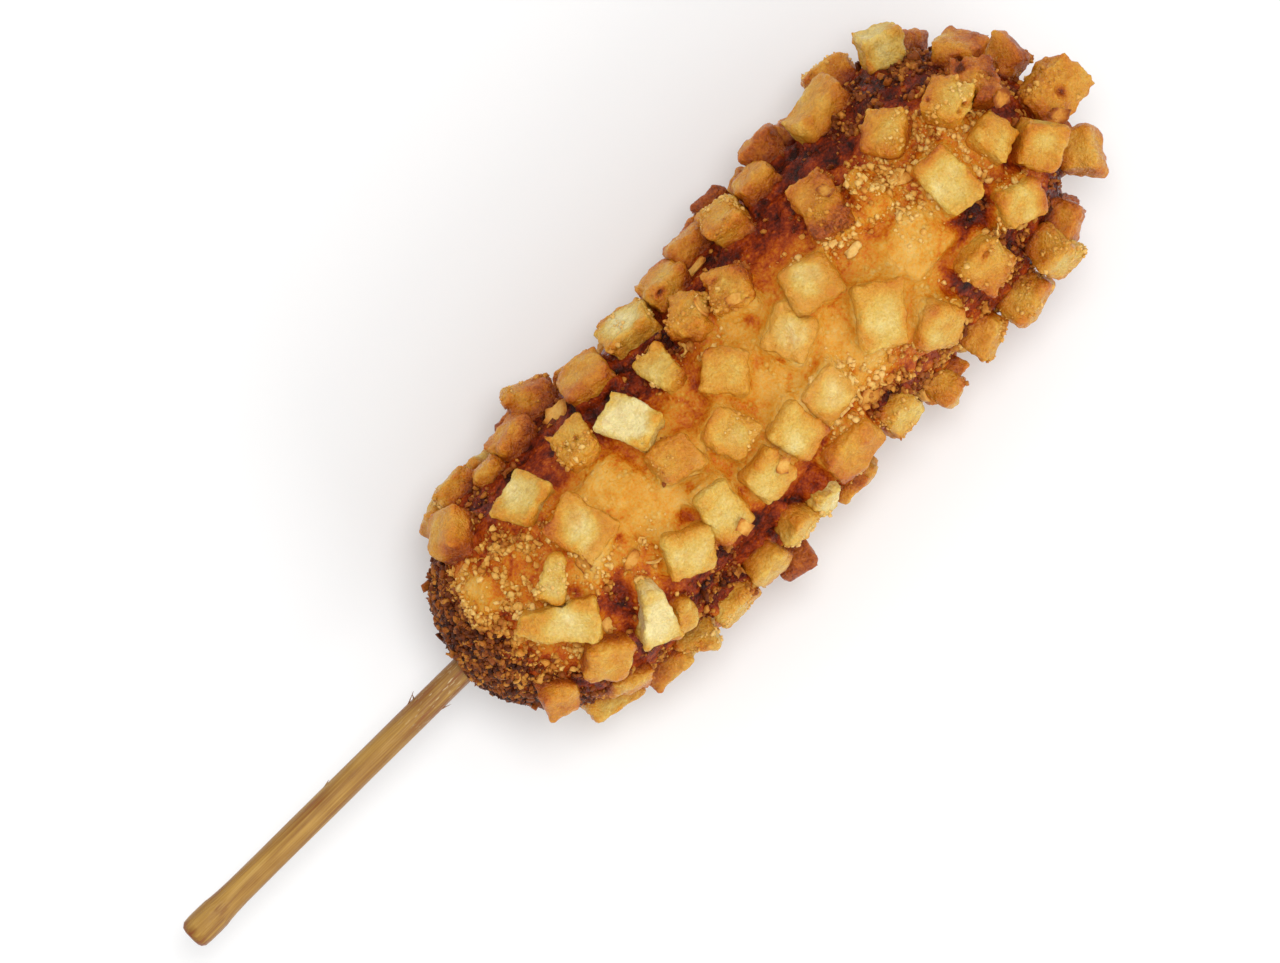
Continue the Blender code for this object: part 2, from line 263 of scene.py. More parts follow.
def blend_in(finish, base, extra, strength, middle=0.5):
    """The base with a share of the extra's swing about its middle added to it."""
    scaled = add_node(finish, "Math", operation="MULTIPLY_ADD")
    join(finish, extra, scaled.inputs[0])
    scaled.inputs[1].default_value = strength
    scaled.inputs[2].default_value = -strength * middle
    total = add_node(finish, "Math", operation="ADD")
    join(finish, base, total.inputs[0])
    join(finish, scaled.outputs[0], total.inputs[1])
    return total.outputs[0]


def ramp(finish, value, stops):
    """Colours along a value from 0 to 1; each stop is a place and a colour picker's colour."""
    node = add_node(finish, "ValToRGB")
    join(finish, value, node.inputs["Fac"])
    elements = node.color_ramp.elements
    elements[0].position, elements[1].position = stops[0][0], stops[-1][0]
    for place, _ in stops[1:-1]:
        elements.new(place)
    for element, (_, picked) in zip(elements, stops):
        element.color = colour(*picked)
    return node.outputs["Color"]


def mottle(finish, shade, size, strength):
    """A colour with lighter and darker specks of a size in mm."""
    node = add_node(finish, "HueSaturation")
    join(finish, shade, node.inputs["Color"])
    value = add_node(finish, "Math", operation="MULTIPLY_ADD")
    join(finish, grain(finish, size, 2.0), value.inputs[0])
    value.inputs[1].default_value = 2.0 * strength
    value.inputs[2].default_value = 1.0 - strength
    join(finish, value.outputs[0], node.inputs["Value"])
    return node.outputs["Color"]


def beads(finish, spacing, cluster):
    """Round beads about a spacing in mm apart, in clusters of a size in mm, from 0 to 1."""
    here = add_node(finish, "TexCoord").outputs["Object"]
    cells = add_node(finish, "TexVoronoi", Scale=1.0 / (spacing * MM))
    join(finish, here, cells.inputs["Vector"])
    bead = add_node(finish, "MapRange", clamp=True)
    bead.inputs["From Min"].default_value, bead.inputs["From Max"].default_value = 0.42, 0.15
    join(finish, cells.outputs["Distance"], bead.inputs["Value"])
    where = add_node(finish, "MapRange", clamp=True)
    where.inputs["From Min"].default_value, where.inputs["From Max"].default_value = 0.42, 0.6
    join(finish, grain(finish, cluster), where.inputs["Value"])
    both = add_node(finish, "Math", operation="MULTIPLY")
    join(finish, bead.outputs["Result"], both.inputs[0])
    join(finish, where.outputs["Result"], both.inputs[1])
    return both.outputs[0]


def roughen(finish, shader, height, depth):
    """Relief finer than the mesh, of a depth in mm."""
    bump = add_node(finish, "Bump", Distance=depth * MM, Strength=1.0)
    join(finish, height, bump.inputs["Height"])
    join(finish, bump.outputs["Normal"], shader.inputs["Normal"])

# %% [markdown]
# Fried potato goes from a pale, waxy yellow where it stayed out of the oil to a deep orange
# brown. The oil that it took up lets light a little way in, which the subsurface value gives.

# %% Fried potato
BATTER_COLOURS = ((0.0, (220, 176, 93)), (0.14, (216, 161, 68)), (0.28, (208, 142, 41)),
                  (0.42, (199, 110, 17)), (0.56, (172, 73, 9)), (0.7, (134, 43, 6)),
                  (0.84, (90, 25, 6)), (1.0, (42, 15, 7)))
POTATO_COLOURS = ((0.0, (235, 217, 155)), (0.14, (225, 198, 119)), (0.3, (217, 178, 82)),
                  (0.45, (213, 156, 52)), (0.6, (206, 135, 30)), (0.75, (191, 106, 18)),
                  (0.88, (156, 71, 11)), (1.0, (94, 39, 10)))


def potato_finish():
    finish, shader = new_finish("fried potato")
    brown = point_values(finish, "browning_and_painted_light")
    brown = blend_in(finish, brown, grain(finish, 2.2, 3.0), 0.3)
    brown = blend_in(finish, brown, grain(finish, 0.45, 3.0), 0.32)
    bare = ramp(finish, brown, POTATO_COLOURS)
    coat = blend_in(finish, point_values(finish, "coat"), grain(finish, 1.0, 3.0), 0.3)
    coated = ramp(finish, coat, BATTER_COLOURS)
    glaze = blend_in(finish, point_values(finish, "glaze"), grain(finish, 1.2, 3.0), 0.9)
    both = add_node(finish, "Mix", data_type="RGBA", clamp_factor=True)
    join(finish, glaze, both.inputs["Factor"])
    join(finish, bare, both.inputs[6])
    join(finish, coated, both.inputs[7])
    join(finish, mottle(finish, both.outputs[2], 0.5, 0.2), shader.inputs["Base Color"])
    relief = blend_in(finish, grain(finish, 0.9, 3.0, 0.65), grain(finish, 0.35), 0.5)
    roughen(finish, shader, relief, 0.65)
    shader.inputs["Roughness"].default_value = 0.26
    shader.inputs["Specular IOR Level"].default_value = 0.32
    shader.inputs["Subsurface Weight"].default_value = 0.6
    shader.inputs["Subsurface Scale"].default_value = 1.7 * MM
    shader.inputs["Subsurface Radius"].default_value = (1.0, 0.85, 0.5)
    return finish


POTATO = potato_finish()

# %% [markdown]
# The batter is a translucent amber glaze on the side that lay out of the oil, and turns to a dark
# red brown round the sides and at both ends. The same number on the points carries it from one
# to the other.

# %% Fried batter
def batter_finish():
    finish, shader = new_finish("fried batter")
    brown = point_values(finish, "browning_and_painted_light")
    brown = blend_in(finish, brown, grain(finish, 2.4, 3.0), 0.4)
    brown = blend_in(finish, brown, grain(finish, 0.5, 3.0), 0.55)
    dots = beads(finish, 1.3, 4.0)
    brown = blend_in(finish, brown, dots, -0.18, 0.0)
    shade = mottle(finish, ramp(finish, brown, BATTER_COLOURS), 0.5, 0.22)
    join(finish, shade, shader.inputs["Base Color"])
    relief = blend_in(finish, grain(finish, 1.3, 3.0, 0.65), grain(finish, 0.4), 0.3)
    relief = blend_in(finish, relief, dots, 0.35, 0.0)
    roughen(finish, shader, relief, 0.6)
    shader.inputs["Roughness"].default_value = 0.2
    shader.inputs["Specular IOR Level"].default_value = 0.13
    shader.inputs["Subsurface Weight"].default_value = 0.3
    shader.inputs["Subsurface Scale"].default_value = 1.6 * MM
    shader.inputs["Subsurface Radius"].default_value = (1.0, 0.5, 0.2)
    return finish


BATTER = batter_finish()

# %% [markdown]
# How brown the batter came out is laid down as patches of the shown side: a long pale
# one on top, where it stayed out of the oil, and dark ones in the gaps round it. A patch counts
# most in its middle and fades out. Crumbs have patches of their own.

# %% Where the batter is pale, dark and crumbly
# Each patch is a station, an offset to +Y and two reaches, in mm, and how strongly it counts.
PALE_PATCHES = (
    (116, -4, 20, 8, 0.75), (146, -6, 24, 12, 1.0), (164, -8, 18, 13, 0.9), (141, -20, 10, 5, 0.8),
    (150, 5, 16, 7, 0.9), (178, -2, 9, 6, 0.9), (190, 2, 8, 6, 0.5), (104, 6, 9, 6, 0.6),
    (142, 9, 8, 4, 0.7), (164, 11, 9, 4, 0.3), (196, 8, 7, 7, 0.3), (100, -3, 8, 4, 0.6),
)
MILKY_PATCHES = (
    (108.5, 5, 5, 5, 0.5), (115, -3, 6, 4, 0.3), (79, 8, 3, 5, 0.8), (143, 10, 4, 3, 0.4), (168, -12, 4, 3, 0.5),
    (158, -11, 4, 3, 0.5), (83, -4, 3, 4, 0.6), (98, -3, 4, 2.5, 0.5), (172, -3, 3, 3, 0.4),
)
DARK_PATCHES = (
    (92, 19, 4, 3, 0.8), (100, 19.5, 6, 3, 0.9), (108, 22, 6, 3.5, 1.0), (114, 18, 5, 3.5, 0.9),
    (125, 17, 4, 4, 0.9), (133, 16.5, 4, 3, 0.8), (142, 23, 5, 3, 0.9), (151, 21, 4, 4, 0.8),
    (161, 19, 6, 5, 0.9), (170, 23, 8, 5, 1.0), (178, 21, 8, 4, 1.0), (190, 21, 9, 5, 1.0),
    (200, 19, 7, 5, 0.9), (207, 11, 4, 7, 0.8), (204, 2, 3, 5, 0.6), (166, 14, 3, 3, 0.5),
    (96, -11, 3.5, 4, 0.9), (96, -18, 4, 5, 0.8), (105, -20, 6, 3, 0.9), (113, -18.5, 5, 2.5, 0.9),
    (123, -18.3, 8, 2.2, 0.9), (131, -19.5, 4, 2.5, 0.7), (156, -19, 6, 3, 0.8),
    (168, -16.5, 4, 3.5, 0.6), (178, -14, 3, 4, 0.8), (187, -6, 4.5, 3, 1.0),
    (189, -15, 5, 4, 0.9), (198, -15, 4, 4, 0.8), (72, 0, 7, 22, 0.9), (77, -12, 4, 6, 0.7),
    (81, -16, 3, 3, 0.9),
)
CRUMB_PATCHES = (
    (76, 2, 5, 22, 1.0), (82, -2, 6, 12, 0.9), (88, 9, 7, 7, 0.8), (98, -7, 7, 4, 0.5),
    (88, 17, 8, 4, 0.5), (137, 16, 9, 5, 0.4), (150, -14, 6, 6, 0.5), (156, -18, 7, 5, 0.8),
    (170, 10, 8, 5, 0.5), (181, 8, 5, 6, 0.8), (192, 7, 10, 8, 0.5), (200, 20, 10, 7, 0.7),
    (206, 12, 6, 10, 0.7), (110, -20, 6, 3, 0.6), (192, -14, 8, 8, 0.6), (98, 26, 10, 5, 0.6),
    (90, -20, 10, 6, 0.5), (147, -26, 14, 3, 0.8), (170, -18, 8, 5, 0.6), (186, 21, 6, 4, 0.5),
)
# Small holes that steam left in some of the dice.
HOLES = (
    (199.3, 8.6, 0.7, 0.5, 1.0), (197.7, 8.4, 0.5, 0.4, 0.8), (203.4, 13.6, 0.9, 0.6, 1.0),
    (204.6, 14.9, 0.6, 0.4, 0.8), (183.6, -12.6, 0.9, 0.4, 0.8), (213.8, -1.6, 1.0, 1.0, 1.0),
    (108.3, 15.5, 0.35, 0.35, 0.8), (110.6, 14.9, 0.35, 0.35, 0.8), (195.2, 13.6, 0.5, 0.4, 0.7),
    (139.0, 22.6, 0.9, 0.6, 0.9), (147.0, 17.5, 0.8, 0.5, 0.7),
)


def patch_field(points, patches):
    """How strongly any of the patches of the shown side counts at each point, from 0 to 1."""
    station, side, around, _ = places(points)
    field = np.zeros(len(points))
    for middle, offset, reach, breadth, strength in patches:
        away = ((station - middle) / reach) ** 2 + ((side - offset) / breadth) ** 2
        field = np.maximum(field, strength * np.exp(-away))
    return field * (1.0 - smoothstep(80.0, 100.0, np.abs(around)))


def batter_brownness(points):
    """How brown the batter is: pale where the patches say, dark round the sides and the ends."""
    station, side, around, _ = places(points)
    sides = 0.43 + 0.27 * smoothstep(22.0, 60.0, np.abs(around + 8.0))
    ends = 0.3 * (1.0 - smoothstep(72.0, 84.0, station)) + 0.18 * smoothstep(190.0, 208.0, station)
    under = 0.1 * cloud(points, 14.0 * MM, 5.0) * smoothstep(70.0, 100.0, np.abs(around))
    pale = patch_field(points, PALE_PATCHES)
    dark = patch_field(points, DARK_PATCHES)
    brown = sides + ends + under - 0.28 * pale
    brown = brown + (0.84 + 0.08 * smoothstep(165.0, 200.0, station) - brown) * dark
    return np.clip(brown * (1.0 - patch_field(points, MILKY_PATCHES)), 0.0, 0.95)


# %% [markdown]
# ## Dice of fries
#
# Each die of the shown side is a solid of its own. Its copy gets what frying does to a cube of
# potato: its faces sink a little as they dry, its edges stay proud and round, and its skin
# blisters. By hand that is an inset of each large face with a small depth, a fine voxel remesh
# that rounds the whole, and some sculpting. The sculpting is done in code here, by moving points
# along their normals with soft patterns of three sizes, because a brush can't be written down.

# %% One die of potato, fried
DIMPLE, DIMPLE_RIM = 0.4 * MM, 1.5 * MM
LARGE_FACE = 14.0 * MM * MM


def dimple_faces(piece, depth):
    builder = edit(piece, "DESELECT")
    for face in builder.faces:
        face.select_set(len(face.verts) == 4 and face.calc_area() > LARGE_FACE)
    bmesh.update_edit_mesh(piece.data)
    bpy.ops.mesh.inset(thickness=DIMPLE_RIM, depth=-depth, use_individual=True)
    leave_edit()


def blister(piece, crust):
    """Moves the points of a die as frying does; crust says how rough it has become."""
    points, normals = points_of(piece), normals_of(piece)
    proud = smoothstep(0.0, 0.35 * MM, standing_out(piece, 6))
    swell = 0.65 * cloud(points, 5.5 * MM) + 0.3 * cloud(points, 1.9 * MM, 1.0)
    bubbles = np.clip(cloud(points, 1.9 * MM, 2.0) - 0.25, 0.0, 1.0) * (0.4 + 1.1 * crust)
    grit = cloud(points, 0.9 * MM, 3.0) * (0.12 + 0.28 * crust)
    chips = np.clip(cloud(points, 2.4 * MM, 4.0) - 0.05, 0.0, 1.0) * proud * 1.4
    torn = cloud(points, 1.2 * MM, 6.0) * proud * 0.5
    holes = patch_field(points, HOLES) * 1.6
    lift = (swell + bubbles + grit + torn - chips - holes) * MM
    points = points + normals * lift[:, None]
    points[:, 2] = np.maximum(points[:, 2], 0.05 * MM)
    set_points(piece, points)


def brown_die_with_painted_light(piece, tone, seed, melt):
    """How brown each point of a die is, with painted light laid over the browning: a painted highlight that
    makes its middle paler, painted shade on its side faces and, together with real browning, at its foot. Also
    how far up the batter glazes it.
    """
    points = points_of(piece)
    edge = smoothstep(0.03, 0.3, standing_out(piece, 8) / MM)
    height = places(points)[3]
    rng = np.random.default_rng(seed)
    lean = rng.normal(size=3)
    from_middle = (points - points.mean(axis=0)) / (4.5 * MM)
    one_side = from_middle @ (lean / np.linalg.norm(lean)) * 0.1
    patches = cloud(points, 4.0 * MM, seed) * 0.22
    rim = edge * ((0.6 - tone) * 0.22 + 0.2 * cloud(points, 3.5 * MM, seed + 0.3))
    coat = batter_brownness(points)
    dark = smoothstep(0.3, 0.6, coat)
    middle = points.mean(axis=0)
    up = middle - np.array((middle[0], AXIS_Y, AXIS_Z))
    up /= np.linalg.norm(up)
    sideways = points - middle
    sideways -= np.outer(sideways @ up, up)
    from_centre = np.linalg.norm(sideways, axis=1) / MM
    waxy = 1.0 - float(smoothstep(0.3, 0.5, tone))
    # foot: browner low on the die where it meets the batter, partly real browning in the oil and partly painted
    # shade.
    foot = (1.0 - smoothstep(0.3, 3.2, height)) * (0.08 + 0.16 * dark) * (1.0 - 0.7 * waxy)
    # face: the amber rims of melted dice are their own colour; the paler middle of every die is a painted
    # highlight.
    face = (0.12 + 0.18 * waxy + 0.12 * melt) * smoothstep(1.8, 5.4, from_centre)
    face -= 0.06 + 0.05 * waxy
    # flank: painted shade, side faces made browner than the face turned outwards.
    flank = (1.0 - smoothstep(0.2, 0.8, normals_of(piece) @ up)) * 0.04 * (1.0 - waxy)
    holes = patch_field(points, HOLES) * 0.5
    # The sum is real browning with a painted highlight and painted shade in it.
    brown = tone + one_side + patches + rim + foot + face + flank
    set_values(piece, "browning_and_painted_light", np.minimum(brown, 0.88) + holes)
    climb = 2.4 - 2.0 * smoothstep(0.2, 0.5, coat) + 0.7 * melt
    reach = height + cloud(points, 3.0 * MM, seed + 0.5) * 1.2
    reach -= 2.5 * melt * smoothstep(2.6, 5.5, from_centre)
    set_values(piece, "coat", np.minimum(coat, 0.8))
    set_values(piece, "glaze", 1.0 - smoothstep(climb - 0.9 - melt, climb + 0.9 + melt, reach))


def round_off(piece, share):
    """Draws the points of a die towards a ball by a share of the way."""
    points = points_of(piece)
    from_middle = points - points.mean(axis=0)
    reach = np.linalg.norm(from_middle, axis=1, keepdims=True)
    set_points(piece, points.mean(axis=0) + from_middle * (1.0 - share + share * reach.mean() / reach))


def fry_die(piece, tone, crust, fineness, seed, melt=0.0):
    cooked = float(smoothstep(0.25, 0.5, tone))
    round_off(piece, max(0.42 * melt ** 1.5, 0.1 * cooked))
    dimple_faces(piece, DIMPLE * (1.0 - 1.3 * max(cooked, melt)))
    apply_modifier(piece, "REMESH", mode="VOXEL", voxel_size=fineness)
    apply_modifier(piece, "SMOOTH", factor=0.5, iterations=3 + round(4 * cooked + 8 * melt))
    blister(piece, crust)
    brown_die_with_painted_light(piece, tone, seed, melt)
    piece.data.shade_smooth()
    piece.data.materials.clear()
    piece.data.materials.append(POTATO)

# %% [markdown]
# Then all the shown dice are fried, each with how brown it came out, from 0 for pale to 1 for
# dark, and how crusty. They are listed in the order of their solids, from the stick to the tip.

# %% The shown dice
DICE_LOOKS = (
    (0.66, 0.2), (0.66, 0.1), (0.54, 0.3), (0.14, 0.1), (0.35, 0.4), (0.32, 0.1),
    (0.66, 0.1), (0.06, 0.0), (0.57, 0.2), (0.36, 0.3), (0.27, 0.2), (0.42, 0.8),
    (0.68, 0.3), (0.08, 0.0), (0.57, 0.4), (0.48, 0.2), (0.42, 0.3), (0.26, 0.3),
    (0.35, 0.3), (0.44, 0.2), (0.40, 0.0), (0.40, 0.1), (0.41, 0.1), (0.42, 0.3),
    (0.48, 0.2), (0.82, 0.2), (0.44, 0.3), (0.26, 0.8), (0.57, 1.0), (0.66, 1.0),
    (0.48, 0.4), (0.95, 0.3), (0.70, 0.8), (0.24, 0.1), (0.24, 0.1), (0.36, 0.1),
    (0.42, 0.2), (0.22, 0.0), (0.42, 0.1), (0.56, 0.2), (0.38, 0.4), (0.46, 0.4),
    (0.60, 0.6), (0.46, 0.1), (0.58, 0.3), (0.22, 0.2), (0.65, 0.3), (0.52, 0.6),
    (0.30, 0.1), (0.38, 0.2), (0.49, 0.5), (0.44, 0.3), (0.46, 0.4), (0.40, 0.2),
    (0.54, 0.2), (0.52, 0.8), (0.65, 0.7), (0.80, 0.3),
)


# Dice that are half melted into the pale batter, by number, and how far.
MELTED = {11: 0.4, 15: 0.5, 19: 0.6, 20: 0.4, 24: 0.3, 33: 0.5, 34: 1.0, 35: 1.0, 36: 0.7,
          37: 0.3, 38: 0.3, 39: 0.9, 40: 0.5, 16: 0.3, 50: 0.3}


def fry_shown_dice():
    pieces = []
    for number, (tone, crust) in enumerate(DICE_LOOKS, start=1):
        node = f"potato_die_{number:02d}"
        piece = copy_of_node(node, f"fried_die_{number:02d}")
        fry_die(piece, tone, crust, 0.45 * MM, number, MELTED.get(number, 0.0))
        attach(piece, "root")
        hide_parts(node)
        pieces.append(piece)
    return pieces


shown_dice = fry_shown_dice()
print(len(shown_dice), "shown dice, points in all:",
      sum(len(piece.data.vertices) for piece in shown_dice))

# %% [markdown]
# The dice that the batter has run over, and those of the side that lies on the table, belong to
# the batter's solid, which has only their blunt shapes. They are modelled here by the same rows
# and the same rule, so that they sit in the same places: a cube is made uneven, its edges are
# bevelled, and it is set on the batter's surface.

# %% A raw die from its row
SUNKEN_DICE = (
    (79, 22, 80, 8.0, 7.0, 0.35), (95.5, 68, 0, 7.0, 6.0, 0.6),
    (87.5, -70, -30, 9.0, 6.0, 0.5), (102.5, 71, 12, 9.0, 8.5, 0.9),
    (109.8, 13, 5, 9.0, 8.5, 0.45), (111, -8, 30, 10.0, 9.0, 0.35),
    (140.3, 65, 10, 9.0, 9.0, 1.05), (148.6, 76, 3, 8.5, 8.0, 0.95),
    (164.6, 66, 0, 8.0, 8.5, 0.95), (169.3, 84, -12, 8.0, 8.0, 1.3),
    (176.5, -13, 10, 11.0, 10.0, 0.4), (176, 17, 84, 9.5, 8.0, 0.65, 0.75),
    (198, -6, 10, 7.5, 8.0, 0.75), (204.5, 50, 40, 9.0, 8.5, 1.0),
    (197.5, -74, 10, 8.0, 8.0, 1.1),
)


def raw_die(row, name, seed):
    """A die from station, around, turn, length, width, stand and perhaps wedge and lean."""
    station, around, turn, length, width, stand, *more = row
    wedge, lean = [*more, 0.0, 0.0][:2]
    rng = random.Random(seed)
    skews = [rng.uniform(-0.12, 0.12) for _ in range(3)]
    tapers = [rng.uniform(-0.12, 0.12) for _ in range(2)]
    pick(shown_dice[0])
    bpy.ops.mesh.primitive_cube_add(size=1.0)
    piece = bpy.context.object
    piece.name = name
    for corner in piece.data.vertices:
        x, y, z = corner.co
        y *= 1.0 - wedge * (0.5 + x)
        slanted = Vector((x + skews[0] * z, y + skews[1] * x, z + skews[2] * y))
        shrink = 1.0 + 0.2 * (0.5 - z) + tapers[0] * x + tapers[1] * y
        corner.co = slanted * Vector((length, width, DIE_DEPTH)) * (MM / shrink)
    point, normal = surface(station, math.radians(around))
    along = (Vector((1.0, 0.0, 0.0)) - normal * normal.x).normalized()
    frame_of_die = Matrix((along, normal.cross(along), normal)).transposed().to_4x4()
    middle = point + normal * (stand * DIE_STAND - 0.5 * DIE_DEPTH) * MM
    turned = Matrix.Rotation(math.radians(lean), 4, "Y") @ Matrix.Rotation(
        math.radians(turn), 4, "Z")
    piece.data.transform(Matrix.Translation(middle) @ frame_of_die @ turned)
    edit(piece)
    bpy.ops.mesh.bevel(offset=0.6 * MM, segments=1, affect="EDGES")
    leave_edit()
    return piece


def hidden_rows():
    """Staggered rings of dice round the side that lies on the table."""
    rng = random.Random(12)
    rows = []
    for ring in range(12):
        station = 84.0 + ring * 11.3
        outer = float(batter_radius(station)) + DIE_STAND
        count = max(2, round(math.radians(178.0) * outer / 12.2))
        for slot in range(count):
            share = (slot + 0.25 + 0.5 * (ring % 2)) / count
            place = station + rng.uniform(-1.6, 1.6)
            stray = math.degrees(rng.uniform(-1.6 / outer, 1.6 / outer))
            turn = math.degrees(rng.uniform(0.0, math.pi))
            length, width = DIE_SIDE * rng.uniform(0.85, 1.2), DIE_SIDE * rng.uniform(0.8, 1.05)
            stand, wedge = rng.uniform(0.7, 1.05), rng.choice((0.0, 0.0, 0.3))
            lean = math.degrees(rng.uniform(-0.25, 0.25))
            rows.append((place, 91.0 + 178.0 * share + stray, turn, length, width, stand,
                         wedge, lean))
    return rows


fused_rows = list(SUNKEN_DICE) + hidden_rows()
print("dice in the batter's solid:", len(fused_rows))

# %% [markdown]
# The hidden side lay deepest in the oil, so its dice are golden to brown. They are fried in
# three batches, each joined into one piece. The rows of the sunken dice say which of them stay
# under the batter: those only swell its surface, further down.

# %% The dice of the batter's solid
VEILED = (0, 4, 5, 10, 11)
SUNKEN_TONES = (0.3, 0.55, 0.6, 0.72, 0.3, 0.3, 0.6, 0.66, 0.62, 0.75, 0.2, 0.6, 0.45, 0.7, 0.75)


def fry_batch(name, numbers):
    rng = random.Random(len(numbers))
    batch = []
    for number in numbers:
        piece = raw_die(fused_rows[number], f"{name}_{number:02d}", 1001 + number)
        sunken = number < len(SUNKEN_DICE)
        tone = SUNKEN_TONES[number] if sunken else rng.uniform(0.42, 0.78)
        fry_die(piece, tone, rng.uniform(0.1, 0.6), 0.55 * MM, number)
        batch.append(piece)
    piece = pick(*batch)
    bpy.ops.object.join()
    piece.name = name
    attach(piece, "root")
    print(name, "points:", len(piece.data.vertices))
    return piece


stations = [row[0] for row in fused_rows]
hidden = [n for n in range(len(SUNKEN_DICE), len(fused_rows))]
sunken = [n for n in range(len(SUNKEN_DICE)) if n not in VEILED]
fry_batch("sunken_dice", sunken)
fry_batch("underside_dice_near_stick", [n for n in hidden if stations[n] < 122.0])
fry_batch("underside_dice_middle", [n for n in hidden if 122.0 <= stations[n] < 166.0])
fry_batch("underside_dice_near_tip", [n for n in hidden if stations[n] >= 166.0])

# %% [markdown]
# ## The coat of batter
#
# The batter is drawn out like clay on a rod: a ring of edges is extruded along the stick's line
# and resized at every step to the batter's radius there. The two ends close on small faces.

# %% A loaf by extruding a ring
def drawn_out(name, profile, sides):
    """A closed solid of (x, y, z, radius) steps along X, in metres."""
    pick(shown_dice[0])
    x, y, z, radius = profile[0]
    bpy.ops.mesh.primitive_circle_add(
        vertices=sides, radius=radius, location=(x, y, z), rotation=(0.0, math.pi / 2.0, 0.0),
        fill_type="NGON")
    piece = bpy.context.object
    piece.name = name
    bpy.ops.object.transform_apply(location=True, rotation=True, scale=True)
    bpy.ops.object.mode_set(mode="EDIT")
    bpy.ops.mesh.select_all(action="SELECT")
    for before, after in zip(profile, profile[1:]):
        step = Vector(after[:3]) - Vector(before[:3])
        bpy.ops.mesh.extrude_region_move(TRANSFORM_OT_translate={"value": step})
        grow = after[3] / before[3]
        bpy.ops.transform.resize(value=(1.0, grow, grow), center_override=after[:3])
    bpy.ops.mesh.select_all(action="SELECT")
    bpy.ops.mesh.normals_make_consistent(inside=False)
    leave_edit()
    return piece


def batter_profile():
    profile = []
    for share in np.linspace(0.0, 1.0, 49):
        station = STICK_SHOWN + BATTER_LENGTH * (0.5 - 0.5 * math.cos(math.pi * share))
        profile.append((BUTT_X + station * MM, AXIS_Y + float(axis_offset(station)) * MM,
                        AXIS_Z, max(0.4, float(batter_radius(station))) * MM))
    return profile


batter = drawn_out("batter_coat", batter_profile(), 72)
print("faces of the plain loaf:", len(batter.data.polygons))

# %% [markdown]
# Batter climbs up the sides of whatever is pressed into it. To get that, a copy of every die is
# let down towards the loaf until only its lower part still stands out, all copies are joined to
# the loaf, and a voxel remesh melts them into one skin. Smoothing then draws the skin out of
# the corners, as thick batter would run. It climbs further on the pale side, where it dripped
# over the dice, so the fields of the next cell say where that is.

# %% The skin of the batter
def let_down(piece, climb, top):
    """Lowers a die into the batter until the batter climbs it to this share of its stand, and
    spreads it downwards, from a share of its breadth at the top, as a bank of batter."""
    points = points_of(piece)
    station, _, around, height = places(points)
    middle = points.mean(axis=0)
    where = float(np.clip(station.mean(), STICK_SHOWN + 1.0, STICK_SHOWN + BATTER_LENGTH - 1.0))
    across = Vector(middle) - Vector((middle[0], AXIS_Y + float(axis_offset(where)) * MM, AXIS_Z))
    outward = surface(where, math.atan2(across.y, across.z))[1]
    stand = max(0.0, float(height.max())) * MM
    outward = np.array(outward)
    up = (points - middle) @ outward
    aside = points - middle - np.outer(up, outward)
    spread = 1.45 - (1.45 - top) * (up - up.min()) / np.ptp(up)
    lowered = np.outer(up - stand * (1.0 - climb), outward)
    set_points(piece, middle + aside * spread[:, None] + lowered)


def coat_everything():
    lumps = []
    for number in range(1, len(DICE_LOOKS) + 1):
        lumps.append(copy_of_node(f"potato_die_{number:02d}", f"lump_{number:02d}"))
    for number, row in enumerate(fused_rows):
        lumps.append(raw_die(row, f"fused_lump_{number:02d}", 1001 + number))
    for number, lump in enumerate(lumps):
        pale = patch_field(points_of(lump), PALE_PATCHES).max()
        veiled = number - len(DICE_LOOKS) in VEILED
        melt = MELTED.get(number + 1, 0.0)
        round_off(lump, 0.75 if veiled else 0.42 * melt ** 1.5)
        climb = max(0.24 + 0.46 * float(pale), (0.6 + 0.25 * melt) * (melt > 0.0))
        let_down(lump, 0.85 if veiled else climb, 1.0 if veiled else 0.92)
    pick(*lumps, batter)
    bpy.ops.object.join()
    apply_modifier(batter, "REMESH", mode="VOXEL", voxel_size=0.7 * MM)
    apply_modifier(batter, "SMOOTH", factor=0.5, iterations=9)


coat_everything()
print("points of the batter's skin:", len(batter.data.vertices))

# %% [markdown]
# Now the skin is sculpted as the dice were. Where it is pale it is a smooth glaze, and where it
# is dark it has boiled into pits and grains. Hollows are coloured darkest and raised places
# paler.

